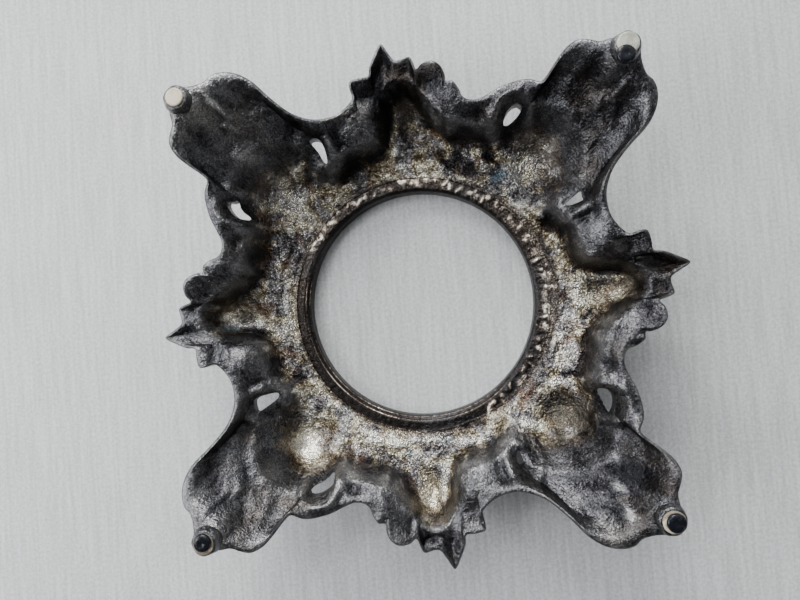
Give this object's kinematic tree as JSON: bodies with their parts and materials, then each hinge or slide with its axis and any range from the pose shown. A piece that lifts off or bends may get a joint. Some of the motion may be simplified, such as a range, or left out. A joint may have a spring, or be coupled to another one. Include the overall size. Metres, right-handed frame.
{
  "type": "lamp base",
  "caption": "Square cast-metal lamp base with a round collar opening, scrolled legs, pierced scrollwork, foot pads and bumpers, stored upside down.",
  "frame": {"origin": "on the collar axis, in the plane of the collar's outer face, which is the floor the part lies on", "axes": "+Z along the collar axis into the hollow underside and towards the foot tips, which point up because the part is stored upside down; in use it is turned over, so that -Z is up. +X and +Y run across the square, with the feet at the corners"},
  "size_m": [0.2196, 0.2196, 0.0641],
  "materials": {
    "cast_metal": "dark blue-grey patina on cast white metal, mottled silver and cream round the collar",
    "cream_pad": "aged cream, matte",
    "black_rubber": "black, semi-gloss"
  },
  "bodies": {
    "root": {"casting": "cast_metal", "pad_nw": "cream_pad", "pad_ne": "cream_pad", "pad_se": "cream_pad", "pad_sw": "cream_pad", "bumper_ne": "black_rubber", "bumper_se": "black_rubber", "bumper_sw": "black_rubber"}
  },
  "joints": []
}
